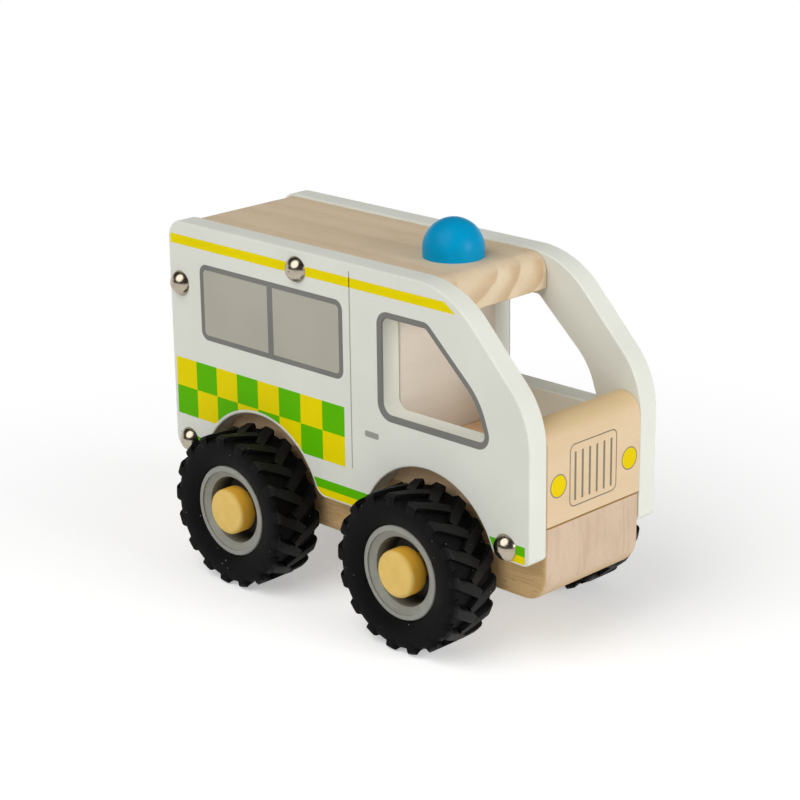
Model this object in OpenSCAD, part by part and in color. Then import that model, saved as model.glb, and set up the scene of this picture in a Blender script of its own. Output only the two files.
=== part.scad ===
// Wooden toy ambulance on four rubber-tyred wheels.
// Two painted side panels are nailed onto plain boards: chassis, floor, nose, bulkhead, rear wall and roof.
// +X points forward, +Y to the left and +Z up. The origin is on the floor, under the middle of the body.

/* [Body] */
// Length of the side panels, and so of the toy
body_length = 130; // [122:1:145]
// Width of the boards between the side panels
inner_width = 35.5; // [30:0.5:45]
// Height of the panels' lower edge above the axles
panel_over_axle = 7.6; // [6:0.1:9]

/* [Side panels] */
// Thickness of each side panel
panel_thickness = 6.3; // [5:0.1:8]
// Height of each side panel
panel_height = 65.3; // [60:0.1:75]
// Rounding of the rear top corner
rear_top_round = 5; // [1:0.5:10]
// Rounding of the rear bottom corner
rear_bottom_round = 4; // [1:0.5:6]
// Rounding of the front bottom corner
front_bottom_round = 2; // [0.5:0.5:4]
// Fall of the windscreen edge from the horizontal, in degrees
screen_slope = 46; // [40:1:52]
// Distance back from the front edge to where the windscreen edge would meet the top edge
screen_setback = 26.7; // [22:0.1:30]
// Rounding between the top edge and the windscreen edge
screen_top_round = 26.6; // [10:0.1:35]
// Rounding between the windscreen edge and the front edge
screen_foot_round = 21.8; // [10:0.1:30]

/* [Wheel arches] */
// Room between the tyre and the wheel arch
arch_clearance = 2; // [1.5:0.1:4]
// Height of the arch centres above the axles
arch_rise = 1.5; // [0.5:0.1:3]
// Distance of the rear arch centre ahead of its axle
rear_arch_shift = 1; // [0:0.1:2]
// Rounding where an arch meets the lower edge
arch_corner_round = 4; // [1:0.5:5]

/* [Cab window] */
// Distance back from the front edge to the rear edge of the cab window
window_rear = 49.1; // [46:0.1:54]
// Depth of the window's upper edge below the panel's upper edge
window_head = 11.9; // [10:0.1:16]
// Height of the window sill above the panel's lower edge
window_sill = 28.3; // [24:0.1:32]
// Distance back from the front edge to the window's front top corner
window_top_front = 34.1; // [32:0.1:38]
// Distance back from the front edge to the window's front bottom corner
window_foot_front = 13.9; // [12:0.1:18]
// Fall of the window's sloped edge from the horizontal, in degrees
window_slope = 42; // [38:1:46]
// Fall of the window's short front edge from the horizontal, in degrees
window_foot_slope = 70.7; // [66:0.1:76]
// Rounding between the sloped edge and the short front edge
window_bend_round = 18; // [8:1:20]
// Rounding of the window's lower rear corner
window_sill_round = 3; // [1:0.5:4]
// Rounding of the window's other corners
window_corner_round = 2; // [0.5:0.5:3]

/* [Boards] */
// Thickness of the chassis
chassis_thickness = 20.2; // [18:0.1:24]
// Height of the axles above the underside of the chassis
axle_over_chassis = 4.3; // [4:0.1:6]
// Rounding of the lower edges at the chassis ends
chassis_end_round = 5; // [1:0.5:6]
// Thickness of the floor board
floor_thickness = 9.3; // [9:0.1:12]
// Thickness of the nose board
nose_thickness = 7.8; // [6:0.1:10]
// Height of the nose board above the chassis
nose_height = 25.8; // [22:0.1:28]
// Rounding of the nose board's front upper edge
nose_front_round = 5.5; // [1:0.5:6]
// Rounding of the nose board's rear upper edge
nose_rear_round = 1.5; // [0.5:0.5:2]
// Thickness of the bulkhead behind the cab
bulkhead_thickness = 9.3; // [6:0.1:12]
// How far the bulkhead shows ahead of the cab window's rear edge
bulkhead_show = 0.5; // [0:0.1:1]
// Thickness of the rear wall
rear_wall_thickness = 10; // [8:0.5:12]
// Depth of the rear wall's face inside the panels' rear edges
rear_wall_inset = 0.5; // [0:0.1:1]
// Thickness of the roof board
roof_thickness = 9.3; // [8:0.1:10]
// Depth of the roof below the panels' upper edges
roof_drop = 0.5; // [0:0.1:1]
// Depth of the roof's rear edge inside the panels' rear edges
roof_rear_inset = 1; // [0:0.1:2]
// Distance back from the front edges to the roof's front edge
roof_front_setback = 31.1; // [29:0.1:34]
// Rounding of the roof's front and rear upper edges
roof_edge_round = 5; // [1:0.5:6]

/* [Beacon] */
// Diameter of the beacon
beacon_diameter = 15.9; // [12:0.1:18]
// Height of the straight skirt under the beacon's half ball
beacon_skirt = 2.05; // [1:0.05:4]
// Distance back from the front edges to the beacon
beacon_setback = 47; // [44:0.5:60]
// Diameter of the dowel under the beacon
dowel_diameter = 6; // [4:0.5:8]
// Depth of the dowel in the roof
dowel_in_roof = 6.5; // [4:0.5:7]
// Depth of the dowel in the beacon
dowel_in_beacon = 5; // [3:0.5:6]

/* [Nails] */
// Diameter of the nail heads
nail_head = 7; // [5:0.1:7.5]
// Height of the nail heads
nail_head_height = 2.6; // [2:0.1:3.4]
// Diameter of the nail shanks
nail_shank = 2.2; // [1.5:0.1:3]
// Length of the nails under their heads
nail_length = 20; // [16:0.5:22]
// Depth of the rear wall's nail below the panel's upper edge
wall_nail_drop = 17.3; // [14:0.1:24]
// Distance of the rear wall's nail ahead of the rear edge
wall_nail_inset = 4.3; // [4:0.1:6]
// Distance of the roof's nail ahead of the rear edge
roof_nail_from_rear = 50.3; // [40:0.1:60]
// Distance of the rear lower nail ahead of the rear edge
rear_nail_inset = 5.6; // [5:0.1:7]
// Distance of the front lower nail behind the front edge
front_nail_inset = 7.7; // [5:0.1:8]
// Height of the lower nails above the panel's lower edge
low_nail_rise = 3.5; // [3.5:0.1:5]

/* [Axles] */
// Diameter of the steel axles
axle_diameter = 4; // [3:0.1:5]
// Radial running clearance on the axles
axle_clearance = 0.05; // [0.02:0.01:0.1]
// Distance of the rear axle ahead of the rear edge
rear_axle_inset = 33; // [32:0.5:38]
// Distance of the front axle behind the front edge
front_axle_inset = 34; // [34:0.5:38]

/* [Wheels] */
// Outer diameter of the tyres over the lugs
tyre_diameter = 42.2; // [40:0.1:43]
// Width of the tread between the shoulders
tread_width = 14.2; // [12:0.1:16]
// Swell of the side walls past the shoulders
side_swell = 0.25; // [0:0.05:0.5]
// Number of lugs in each of the two rows
lug_count = 17; // [12:1:18]
// Height of the lugs above the tread
lug_height = 1.4; // [1:0.1:2]
// Distance from the middle of the tread to where the lugs start to widen
lug_waist = 4.3; // [3:0.1:5]
// How far the lugs' steep side runs past the middle of the tread
lug_overrun = 0.8; // [0:0.1:1.5]
// How much further their soft side runs, because their ends are cut square
lug_skew = 1.1; // [0:0.1:1.5]
// Direction of the first lug on each wheel, in degrees
lug_phase = 5.5; // [0:0.1:22.5]
// Outer diameter of the rims
rim_diameter = 24.8; // [22:0.1:26]
// Width of the rims over their flanges
rim_width = 12.3; // [11:0.1:13]
// Height of the rim flanges above the tyre's seat
flange_height = 1.4; // [1:0.1:2]
// Thickness of the rim flanges at the tyre's seat
flange_thickness = 1.4; // [1:0.1:2]
// Diameter of the round opening in the rim's face
dish_diameter = 18.3; // [17:0.1:19]
// Depth of the step between the rim's outer ring and its sloped ring
ring_step = 0.5; // [0.2:0.1:0.8]
// Depth of that opening's edge behind the rim's face
dish_edge_depth = 1.45; // [1:0.05:2]
// Depth of the dish behind the rim's face
dish_depth = 7.7; // [6:0.1:8]
// Narrowing of the dish from its edge to its floor
dish_draft = 0.5; // [0:0.1:1]
// Thickness of the rim's web around the hub
web_thickness = 2.6; // [2:0.1:3.5]
// Diameter of the hub
hub_diameter = 10; // [8:0.1:11]
// Room between the hub and the chassis
hub_gap = 0.5; // [0.4:0.1:1]
// Distance of the rim's face from the side of the chassis
rim_face = 16.6; // [16:0.1:18]

/* [Hub caps] */
// Diameter of the hub caps
cap_diameter = 12.4; // [11:0.1:13]
// How far the hub caps stand out past the rim's face
cap_proud = 1.65; // [1:0.05:3]
// Rounding of the hub caps' edge
cap_round = 1.2; // [0.5:0.1:2]
// Room between hub cap and hub
cap_gap = 0.3; // [0.3:0.05:0.6]
// Length of axle that is pressed into each hub cap
cap_grip = 6; // [4:0.5:7]

/* [Hidden] */
$fn = 64;
front_x = body_length / 2;
rear_x = -body_length / 2;
side_y = inner_width / 2;
axle_z = tyre_diameter / 2;
rear_axle_x = rear_x + rear_axle_inset;
front_axle_x = front_x - front_axle_inset;

panel_bottom = axle_z + panel_over_axle;
panel_top = panel_bottom + panel_height;
arch_radius = tyre_diameter / 2 + arch_clearance;
arch_z = axle_z + arch_rise;

chassis_bottom = axle_z - axle_over_chassis;
chassis_top = chassis_bottom + chassis_thickness;
floor_top = chassis_top + floor_thickness;
nose_rear_x = front_x - nose_thickness;
bulkhead_front_x = front_x - window_rear + bulkhead_show;
rear_wall_x = rear_x + rear_wall_inset;
roof_top = panel_top - roof_drop;
roof_bottom = roof_top - roof_thickness;
beacon_x = front_x - beacon_setback;

wall_nail = [rear_x + wall_nail_inset, panel_top - wall_nail_drop];
roof_nail = [rear_x + roof_nail_from_rear, roof_top - roof_thickness / 2];
rear_nail = [rear_x + rear_nail_inset, panel_bottom + low_nail_rise];
front_nail = [front_x - front_nail_inset, panel_bottom + low_nail_rise];
nails = [wall_nail, roof_nail, rear_nail, front_nail];

axle_hole_r = axle_diameter / 2 + axle_clearance;
rim_r = rim_diameter / 2;
seat_r = rim_r - flange_height;
rim_back = rim_face - rim_width;
wheel_middle = rim_face - rim_width / 2;
dish_floor = rim_face - dish_depth;
cap_start = dish_floor + cap_gap;
cap_end = rim_face + cap_proud;
axle_half = side_y + cap_start + cap_grip;
tread_r = tyre_diameter / 2 - lug_height;
tread_half = tread_width / 2;
lug_pitch = 360 / lug_count;
// The tyres are the only pieces with flat facets, two to each lug
tyre_sides = 2 * lug_count;
// A little more than any cut needs, so that it runs past the surface
past = 1;

// Colours
wood = [0.80, 0.68, 0.52];
beech = [0.78, 0.63, 0.48];
paint = [0.90, 0.91, 0.88];
blue = [0.05, 0.52, 0.78];
nickel = [0.75, 0.74, 0.71];
steel = [0.62, 0.63, 0.65];
grey = [0.62, 0.63, 0.60];
black = [0.09, 0.09, 0.09];
tan_plastic = [0.86, 0.70, 0.38];

// Where a line that falls forward at one angle from p meets one that falls forward at another from q
function meet(p, fall_p, q, fall_q) =
    let (x = (p.y - q.y + p.x * tan(fall_p) - q.x * tan(fall_q)) / (tan(fall_p) - tan(fall_q)))
    [x, p.y - (x - p.x) * tan(fall_p)];

// What a rounding of radius r takes off the corner b between the sides that lead to a and c, running past both sides
module corner_waste(a, b, c, r) {
    u = (a - b) / norm(a - b);
    v = (c - b) / norm(c - b);
    half = acos(u * v) / 2;
    reach = r / tan(half);
    middle = b + (u + v) / norm(u + v) * r / sin(half);
    difference() {
        polygon([for (p = [middle, b + u * reach, b, b + v * reach]) middle + (p - middle) * (r + past) / r]);
        translate(middle) circle(r);
    }
}

// A polygon whose corners are rounded, each by its own radius
module rounded_outline(points, radii) {
    count = len(points);
    difference() {
        polygon(points);
        for (i = [0 : count - 1])
            if (radii[i] > 0)
                corner_waste(points[(i + count - 1) % count], points[i], points[(i + 1) % count], radii[i]);
    }
}

// Turns an outline drawn in X and Z into a board that fills the width between the panels
module between_panels() {
    translate([0, side_y, 0]) rotate([90, 0, 0]) linear_extrude(inner_width) children();
}

// A plain upright or flat board between the panels
module board(x, z, length, height) {
    translate([x, -side_y, z]) cube([length, inner_width, height]);
}

// Shanks of one nail on each side, which are also the holes for them
module nail_shanks(place) {
    for (side = [-1, 1])
        translate([place.x, side * (side_y + panel_thickness), place.y])
            rotate([side * 90, 0, 0]) cylinder(h = nail_length, d = nail_shank);
}

module axle_hole(x) {
    translate([x, side_y + past, axle_z]) rotate([90, 0, 0]) cylinder(h = inner_width + 2 * past, r = axle_hole_r);
}

module chassis() {
    radii = [chassis_end_round, chassis_end_round, 0, 0];
    corners = [[rear_x, chassis_bottom], [front_x, chassis_bottom], [front_x, chassis_top], [rear_x, chassis_top]];
    color(beech) difference() {
        between_panels() rounded_outline(corners, radii);
        axle_hole(rear_axle_x);
        axle_hole(front_axle_x);
        nail_shanks(rear_nail);
        nail_shanks(front_nail);
    }
}

module floor_board() {
    color(wood) board(rear_x, chassis_top, nose_rear_x - rear_x, floor_thickness);
}

module nose_board() {
    nose_top = chassis_top + nose_height;
    corners = [[nose_rear_x, chassis_top], [front_x, chassis_top], [front_x, nose_top], [nose_rear_x, nose_top]];
    color(wood) between_panels() rounded_outline(corners, [0, 0, nose_front_round, nose_rear_round]);
}

module bulkhead() {
    color(wood) board(bulkhead_front_x - bulkhead_thickness, floor_top, bulkhead_thickness, roof_bottom - floor_top);
}

module rear_wall() {
    color(wood) difference() {
        board(rear_wall_x, floor_top, rear_wall_thickness, roof_bottom - floor_top);
        nail_shanks(wall_nail);
    }
}

module roof() {
    start = rear_x + roof_rear_inset;
    end = front_x - roof_front_setback;
    corners = [[start, roof_bottom], [end, roof_bottom], [end, roof_top], [start, roof_top]];
    color(wood) difference() {
        between_panels() rounded_outline(corners, [0, 0, roof_edge_round, roof_edge_round]);
        nail_shanks(roof_nail);
        translate([beacon_x, 0, roof_top - dowel_in_roof]) cylinder(h = dowel_in_roof + past, d = dowel_diameter);
    }
}

// A wheel arch with its rounded corners at the panel's lower edge
module arch(x) {
    translate([x, arch_z]) circle(arch_radius);
    lift = panel_bottom - arch_z;
    corner_z = lift + arch_corner_round;
    corner_x = sqrt(pow(arch_radius + arch_corner_round, 2) - pow(corner_z, 2));
    touch = [corner_x, corner_z] * arch_radius / (arch_radius + arch_corner_round);
    foot = [sqrt(pow(arch_radius, 2) - pow(lift, 2)), lift];
    for (side = [0, 1])
        translate([x, arch_z]) mirror([side, 0]) difference() {
            polygon([[corner_x, corner_z], touch, foot, [foot.x, lift - past], [corner_x, lift - past]]);
            translate([corner_x, corner_z]) circle(arch_corner_round);
        }
}

module cab_window() {
    sill = panel_bottom + window_sill;
    head = panel_top - window_head;
    rear = front_x - window_rear;
    top_front = [front_x - window_top_front, head];
    foot_front = [front_x - window_foot_front, sill];
    bend = meet(top_front, window_slope, foot_front, window_foot_slope);
    rounded_outline(
        [[rear, sill], foot_front, bend, top_front, [rear, head]],
        [window_sill_round, window_corner_round, window_bend_round, window_corner_round, window_corner_round]);
}

module panel_outline() {
    screen_top = [front_x - screen_setback, panel_top];
    screen_foot = [front_x, panel_top - screen_setback * tan(screen_slope)];
    difference() {
        rounded_outline(
            [[rear_x, panel_bottom], [front_x, panel_bottom], screen_foot, screen_top, [rear_x, panel_top]],
            [rear_bottom_round, front_bottom_round, screen_foot_round, screen_top_round, rear_top_round]);
        cab_window();
        arch(rear_axle_x + rear_arch_shift);
        arch(front_axle_x);
    }
}

// A side panel whose left face is at the given Y
module panel(left_face) {
    color(paint) difference() {
        translate([0, left_face, 0]) rotate([90, 0, 0]) linear_extrude(panel_thickness) panel_outline();
        for (place = nails) nail_shanks(place);
    }
}

module right_panel() {
    panel(-side_y);
}

module left_panel() {
    panel(side_y + panel_thickness);
}

module beacon() {
    radius = beacon_diameter / 2;
    color(blue) translate([beacon_x, 0, roof_top]) difference() {
        rotate_extrude() {
            square([radius, beacon_skirt]);
            translate([0, beacon_skirt]) intersection() {
                circle(radius);
                square(radius);
            }
        }
        translate([0, 0, -past]) cylinder(h = dowel_in_beacon + past, d = dowel_diameter);
    }
}

module beacon_dowel() {
    color(wood) translate([beacon_x, 0, roof_top - dowel_in_roof])
        cylinder(h = dowel_in_roof + dowel_in_beacon, d = dowel_diameter);
}

// One dome-headed nail, with the head's flat side at zero and the shank below it
module nail() {
    ball = (pow(nail_head / 2, 2) + pow(nail_head_height, 2)) / (2 * nail_head_height);
    rotate_extrude() intersection() {
        translate([0, nail_head_height - ball]) circle(ball);
        square([nail_head / 2, nail_head_height]);
    }
    translate([0, 0, -nail_length]) cylinder(h = nail_length, d = nail_shank);
}

// The nails through one panel: side is -1 on the right and 1 on the left
module nail_set(side) {
    color(nickel) for (place = nails)
        translate([place.x, side * (side_y + panel_thickness), place.y]) rotate([-side * 90, 0, 0]) nail();
}

module right_nails() {
    nail_set(-1);
}

module left_nails() {
    nail_set(1);
}

module axle(x) {
    color(steel) translate([x, axle_half, axle_z]) rotate([90, 0, 0]) cylinder(h = 2 * axle_half, d = axle_diameter);
}

module front_axle() {
    axle(front_axle_x);
}

module rear_axle() {
    axle(rear_axle_x);
}

// Stands a wheel piece, drawn with its axis up from the side of the chassis, on the right or left of an axle
module at_wheel(x, side) {
    mirror([0, side > 0 ? 1 : 0, 0]) translate([x, -side_y, axle_z]) rotate([90, 0, 0]) children();
}

// The rim's half section: bore, hub, web, rear flange, tyre seat, front flange, stepped and sloped ring, and dish
module rim_section() {
    hub_r = hub_diameter / 2;
    dish_r = dish_diameter / 2;
    ring_r = rim_r - flange_thickness;
    dish_edge = rim_face - dish_edge_depth;
    web_back = dish_floor - web_thickness;
    rounded_outline(
        [[axle_hole_r, hub_gap], [hub_r, hub_gap], [hub_r, web_back], [dish_r, web_back], [dish_r, rim_back],
         [rim_r, rim_back], [rim_r, rim_back + flange_thickness], [seat_r, rim_back + flange_thickness],
         [seat_r, rim_face - flange_thickness], [rim_r, rim_face - flange_thickness], [rim_r, rim_face],
         [ring_r, rim_face], [ring_r, rim_face - ring_step], [dish_r, dish_edge], [dish_r - dish_draft, dish_floor],
         [axle_hole_r, dish_floor]],
        [0, 0, 0, 0, 0, 0, 0, 0, 0, 0, flange_thickness / 3, 0, 0, 0, 0, 0]);
}

module rim(x, side) {
    color(grey) at_wheel(x, side) rotate_extrude() rim_section();
}

// The tyre's half section without its lugs: bead between the rim flanges, side walls and tread
module tyre_section() {
    bead = rim_width / 2 - flange_thickness;
    lip = rim_width / 2;
    swell = tread_half + side_swell;
    swell_r = (rim_r + tread_r) / 2;
    shoulder = lug_height / 2;
    polygon([
        [seat_r, bead], [rim_r, bead], [rim_r, lip], [swell_r, swell],
        [tread_r - shoulder, tread_half], [tread_r, tread_half - shoulder],
        [tread_r, shoulder - tread_half], [tread_r - shoulder, -tread_half],
        [swell_r, -swell], [rim_r, -lip], [rim_r, -bead], [seat_r, -bead]]);
}

// A point on the tread, from its place around the tyre, its radius and its place along the axle
function on_tread(turn, radius, along) = [radius * cos(turn), -radius * sin(turn), along];

// The four corners of a section across a lug. It holds the steep side's place around the tyre and the widths at top
// and root, in pitches, then the radius and the place along the axle, at top and root, and the soft side's overrun
function lug_corners(s) = [
    on_tread((s[0] - s[1]) * lug_pitch, s[3], s[5] - s[7]), on_tread(s[0] * lug_pitch, s[3], s[5]),
    on_tread(s[0] * lug_pitch, s[4], s[6]), on_tread((s[0] - s[2]) * lug_pitch, s[4], s[6] - s[7])];

// One lug: a bar that starts wide on the side wall, bends over the shoulder and runs slanting past the tread's middle.
// One of its sides is steep, the other falls softly to the tread
module lug() {
    top_r = tyre_diameter / 2;
    root_r = tread_r - lug_height / 2;
    foot_r = root_r - lug_height;
    edge_r = top_r - lug_height / 2;
    inner = (tread_half + lug_waist) / 2;
    flat_end = tread_half - lug_height / 2;
    sections = [
        [0, 0.30, 0.60, foot_r, foot_r - lug_height, tread_half + side_swell, inner, 0],
        [0, 0.36, 0.72, edge_r, root_r, tread_half, inner, 0],
        [0.06, 0.38, 0.72, top_r, root_r, flat_end, inner, 0],
        [0.22, 0.33, 0.54, top_r, root_r, lug_waist, lug_waist, 0],
        [0.64, 0.24, 0.33, top_r, root_r, -lug_overrun, -lug_overrun, lug_skew]];
    for (i = [0 : len(sections) - 2])
        hull() polyhedron(
            concat(lug_corners(sections[i]), lug_corners(sections[i + 1])), [[0, 1, 2, 3], [7, 6, 5, 4]]);
}

module tyre(x, side) {
    color(black) at_wheel(x, side) translate([0, 0, wheel_middle]) {
        rotate_extrude($fn = tyre_sides) tyre_section();
        for (i = [0 : lug_count - 1]) {
            rotate([0, 0, lug_phase + i * lug_pitch]) lug();
            rotate([0, 0, lug_phase + (i + 0.5) * lug_pitch]) mirror([0, 0, 1]) lug();
        }
    }
}

module hub_cap(x, side) {
    cap_r = cap_diameter / 2;
    color(tan_plastic) at_wheel(x, side) difference() {
        rotate_extrude() rounded_outline(
            [[0, cap_start], [cap_r, cap_start], [cap_r, cap_end], [0, cap_end]], [0, 0, cap_round, 0]);
        translate([0, 0, cap_start - past]) cylinder(h = cap_grip + past, d = axle_diameter);
    }
}

chassis();
floor_board();
nose_board();
bulkhead();
rear_wall();
roof();
right_panel();
left_panel();
beacon();
beacon_dowel();
right_nails();
left_nails();
front_axle();
rear_axle();
rim(front_axle_x, -1);  // front_right_rim
rim(front_axle_x, 1);  // front_left_rim
rim(rear_axle_x, -1);  // rear_right_rim
rim(rear_axle_x, 1);  // rear_left_rim
tyre(front_axle_x, -1);  // front_right_tyre
tyre(front_axle_x, 1);  // front_left_tyre
tyre(rear_axle_x, -1);  // rear_right_tyre
tyre(rear_axle_x, 1);  // rear_left_tyre
hub_cap(front_axle_x, -1);  // front_right_cap
hub_cap(front_axle_x, 1);  // front_left_cap
hub_cap(rear_axle_x, -1);  // rear_right_cap
hub_cap(rear_axle_x, 1);  // rear_left_cap
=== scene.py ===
"""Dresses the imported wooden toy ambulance: wood, paint, prints, rubber tyres, and a plain white studio."""
import math

import bmesh
import bpy
from mathutils import Matrix, Vector

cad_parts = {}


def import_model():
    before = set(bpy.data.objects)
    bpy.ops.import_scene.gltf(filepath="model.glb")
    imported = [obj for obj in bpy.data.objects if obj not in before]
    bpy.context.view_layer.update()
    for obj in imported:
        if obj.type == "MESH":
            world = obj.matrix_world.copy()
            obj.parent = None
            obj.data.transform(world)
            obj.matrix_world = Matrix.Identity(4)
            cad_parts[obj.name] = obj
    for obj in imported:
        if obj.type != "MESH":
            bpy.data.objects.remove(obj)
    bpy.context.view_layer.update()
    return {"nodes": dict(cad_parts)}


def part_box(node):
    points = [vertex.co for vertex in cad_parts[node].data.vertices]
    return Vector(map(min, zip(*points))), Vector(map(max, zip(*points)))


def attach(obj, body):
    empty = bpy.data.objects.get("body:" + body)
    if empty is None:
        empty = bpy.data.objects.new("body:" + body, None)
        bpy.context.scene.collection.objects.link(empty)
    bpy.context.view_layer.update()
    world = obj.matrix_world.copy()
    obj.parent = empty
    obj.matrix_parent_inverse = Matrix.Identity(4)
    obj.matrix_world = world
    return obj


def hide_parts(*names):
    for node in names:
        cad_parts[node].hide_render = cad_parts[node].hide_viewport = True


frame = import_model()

MM = 0.001
NODES = frame["nodes"]
SIDES = {"right": -1, "left": 1}
WHEELS = [(end, side) for end in ("front", "rear") for side in SIDES]

# Places that the CAD gives, in millimetres
panel_low, panel_high = (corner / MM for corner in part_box("right_panel"))
REAR_X = panel_low.x
FRONT_X = panel_high.x
PANEL_BOTTOM = panel_low.z
PANEL_FACE = -panel_low.y
CHASSIS_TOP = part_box("chassis")[1].z / MM
CHASSIS_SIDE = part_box("chassis")[1].y / MM


# Shader helpers

def add(tree, kind, inputs=None, **settings):
    """Adds a shader node. An input is set to a value, or linked when the value is another node's output."""
    made = tree.nodes.new("ShaderNode" + kind)
    for name, value in settings.items():
        setattr(made, name, value)
    for name, value in (inputs or {}).items():
        if isinstance(value, bpy.types.NodeSocket):
            tree.links.new(value, made.inputs[name])
        else:
            made.inputs[name].default_value = value
    return made


def new_material(name):
    """An empty material and its node tree."""
    made = bpy.data.materials.new(name)
    made.use_nodes = True
    made.node_tree.nodes.clear()
    return made, made.node_tree


def surface(tree, colour, roughness, height=None, depth=0.0, **extra):
    """Ends a material: one Principled shader, with a bump of a depth in metres where there is a height."""
    inputs = {"Base Color": colour, "Roughness": roughness}
    for name, value in extra.items():
        inputs[name.replace("_", " ")] = value
    if height is not None:
        bump = add(tree, "Bump", {"Height": height, "Distance": depth, "Strength": 1.0})
        inputs["Normal"] = bump.outputs["Normal"]
    shader = add(tree, "BsdfPrincipled", inputs)
    add(tree, "OutputMaterial", {"Surface": shader.outputs["BSDF"]})


def place(tree, stretch=(1, 1, 1)):
    """Places on the piece in millimetres, stretched along each axis."""
    start = add(tree, "TexCoord").outputs["Object"]
    scale = [1 / (MM * part) for part in stretch]
    return add(tree, "Mapping", {"Vector": start, "Scale": scale}).outputs["Vector"]


def noise(tree, vector, size, detail=3.0, roughness=0.5, distortion=0.0):
    """Noise whose main features are about size millimetres across."""
    made = add(tree, "TexNoise", {"Vector": vector, "Scale": 1 / size, "Detail": detail,
                                  "Roughness": roughness, "Distortion": distortion})
    return made.outputs["Fac"]


def math_node(tree, operation, a, b=0.0, clamp=False):
    """The result of a sum with one or two values."""
    made = add(tree, "Math", {0: a, 1: b}, operation=operation, use_clamp=clamp)
    return made.outputs[0]


def between(tree, value, low, high, out_low=0.0, out_high=1.0):
    """Maps low..high to out_low..out_high, clamped and eased at both ends."""
    made = add(tree, "MapRange", {"Value": value, "From Min": low, "From Max": high, "To Min": out_low,
                                  "To Max": out_high}, interpolation_type="SMOOTHSTEP")
    return made.outputs["Result"]


def mix(tree, factor, a, b):
    """A colour from a, where factor is 0, to b, where it is 1."""
    made = add(tree, "Mix", {"Factor": factor, 6: a, 7: b}, data_type="RGBA")
    return made.outputs[2]


def rgb(red, green, blue):
    """A solid colour, in linear light."""
    return (red, green, blue, 1.0)


def facing(tree, axis):
    """How far the surface faces along an axis of the part, either way."""
    normal = add(tree, "TexCoord").outputs["Normal"]
    parts = add(tree, "SeparateXYZ", {"Vector": normal})
    return math_node(tree, "ABSOLUTE", parts.outputs[axis])


# Materials, with lengths in millimetres

# Most values of a noise lie within this span
NOISE_SPAN = (0.3, 0.7)
# How far a face turns to the fibres' direction, from a long face to a sawn end
END_FACING = (0.45, 0.9)
# Painted shade: faces that look up turn to this darker golden, between these facings and by this share
PAINTED_TOP_SHADE = rgb(0.60, 0.43, 0.20)
TOP_SHADE_FACING = (0.2, 0.9)
TOP_SHADE_SHARE = 0.6
SAW_BURN = rgb(0.31, 0.16, 0.035)
# The distances over which the burn fades at the seam and beside the panels
SEAM_BURN = (0.16, 0.32)
SIDE_BURN = (0.1, 0.4)
SIDE_BURN_SHARE = 0.45
WOOD_GLOSS = 0.15
PORE_SHADE = 0.55
INNER_SHARE = 0.85
DUST = rgb(0.22, 0.21, 0.19)
DUST_GAP = 2.2


def stretched(axis, length, width):
    """A stretch by length along one axis, X, Y or Z, and by width across it."""
    return [length if name == axis else width for name in "XYZ"]


def growth_rings(tree, axis, middle, gap):
    """One in the dark part of each growth ring, round a line along axis and gap millimetres apart."""
    spot = add(tree, "SeparateXYZ", {"Vector": place(tree)})
    squares = []
    for name, value in zip([name for name in "XYZ" if name != axis], middle):
        away = math_node(tree, "SUBTRACT", spot.outputs[name], value)
        squares.append(math_node(tree, "MULTIPLY", away, away))
    radius = math_node(tree, "SQRT", math_node(tree, "ADD", *squares))
    sway = noise(tree, place(tree, stretched(axis, length=90, width=14)), size=1.0, detail=2.0)
    swayed = math_node(tree, "ADD", radius, math_node(tree, "MULTIPLY", sway, gap))
    turn = math_node(tree, "FRACT", math_node(tree, "DIVIDE", swayed, gap))
    rise = between(tree, turn, low=0.2, high=0.85)
    fall = between(tree, turn, low=0.88, high=1.0, out_low=1.0, out_high=0.0)
    return math_node(tree, "MULTIPLY", rise, fall)


def saw_burn_and_top_shade(tree, colour):
    """The saw's brown burn at the seam and beside the panels, and a painted shade, darker and golden, on
    faces that look up.
    """
    # Painted shade: the more a face looks up, the more it turns darker and golden.
    top = between(tree, facing(tree, "Z"), *TOP_SHADE_FACING, out_high=TOP_SHADE_SHARE)
    colour = mix(tree, top, colour, PAINTED_TOP_SHADE)
    spot = add(tree, "SeparateXYZ", {"Vector": place(tree)})
    to_seam = math_node(tree, "ABSOLUTE", math_node(tree, "SUBTRACT", spot.outputs["Z"], CHASSIS_TOP))
    to_side = math_node(tree, "SUBTRACT", CHASSIS_SIDE, math_node(tree, "ABSOLUTE", spot.outputs["Y"]))
    near = math_node(tree, "MAXIMUM", between(tree, to_seam, *SEAM_BURN, out_low=1.0, out_high=0.0),
                     between(tree, to_side, *SIDE_BURN, out_low=SIDE_BURN_SHARE, out_high=0.0))
    return mix(tree, math_node(tree, "MULTIPLY", near, facing(tree, "X")), colour, SAW_BURN)


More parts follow.
